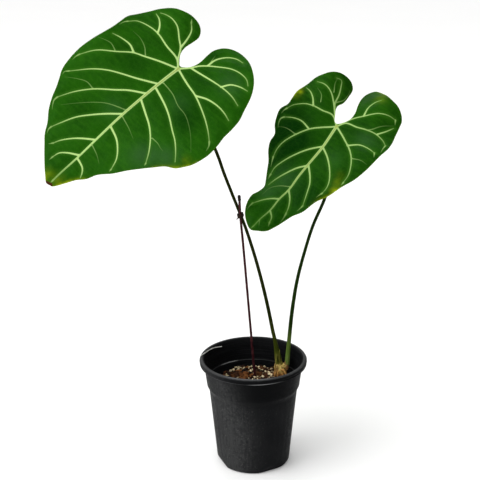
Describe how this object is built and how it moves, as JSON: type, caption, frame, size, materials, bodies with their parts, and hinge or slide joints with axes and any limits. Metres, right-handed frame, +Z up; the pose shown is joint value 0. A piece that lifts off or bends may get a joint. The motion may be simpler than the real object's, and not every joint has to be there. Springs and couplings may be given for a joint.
{
  "type": "potted anthurium regale",
  "caption": "Young anthurium regale with large heart-shaped, pale-veined leaves on long petioles, in a plain nursery pot with a tied stake.",
  "frame": {"origin": "centre of the pot's flat foot, on the surface that it stands on", "axes": "+Z up; the leaves show their upper faces towards -Y; +X to the right of a viewer who looks along +Y"},
  "size_m": [0.4056, 0.1536, 0.5418],
  "materials": {
    "pot_plastic": "satin black, finely textured wall",
    "bark_and_perlite": "rough bark chips with cream perlite grains",
    "crown_tissue": "pale fleshy stem with dry brown scales",
    "petiole": "smooth green stalk, slightly glossy",
    "leaf": "velvety satin green with pale raised veins",
    "stake_rod": "dark burgundy paint",
    "stake_end": "matt black",
    "tie": "dark brown, dull",
    "strip": "plain off-white"
  },
  "bodies": {
    "root": {"pot": "pot_plastic", "growing_mix": "bark_and_perlite", "crown": "crown_tissue", "petiole_left": "petiole", "petiole_right": "petiole", "leaf_blade_left": "leaf", "leaf_blade_right": "leaf", "stake": "stake_rod", "stake_cap": "stake_end", "stake_tie": "tie", "rim_strip": "strip"}
  },
  "joints": []
}
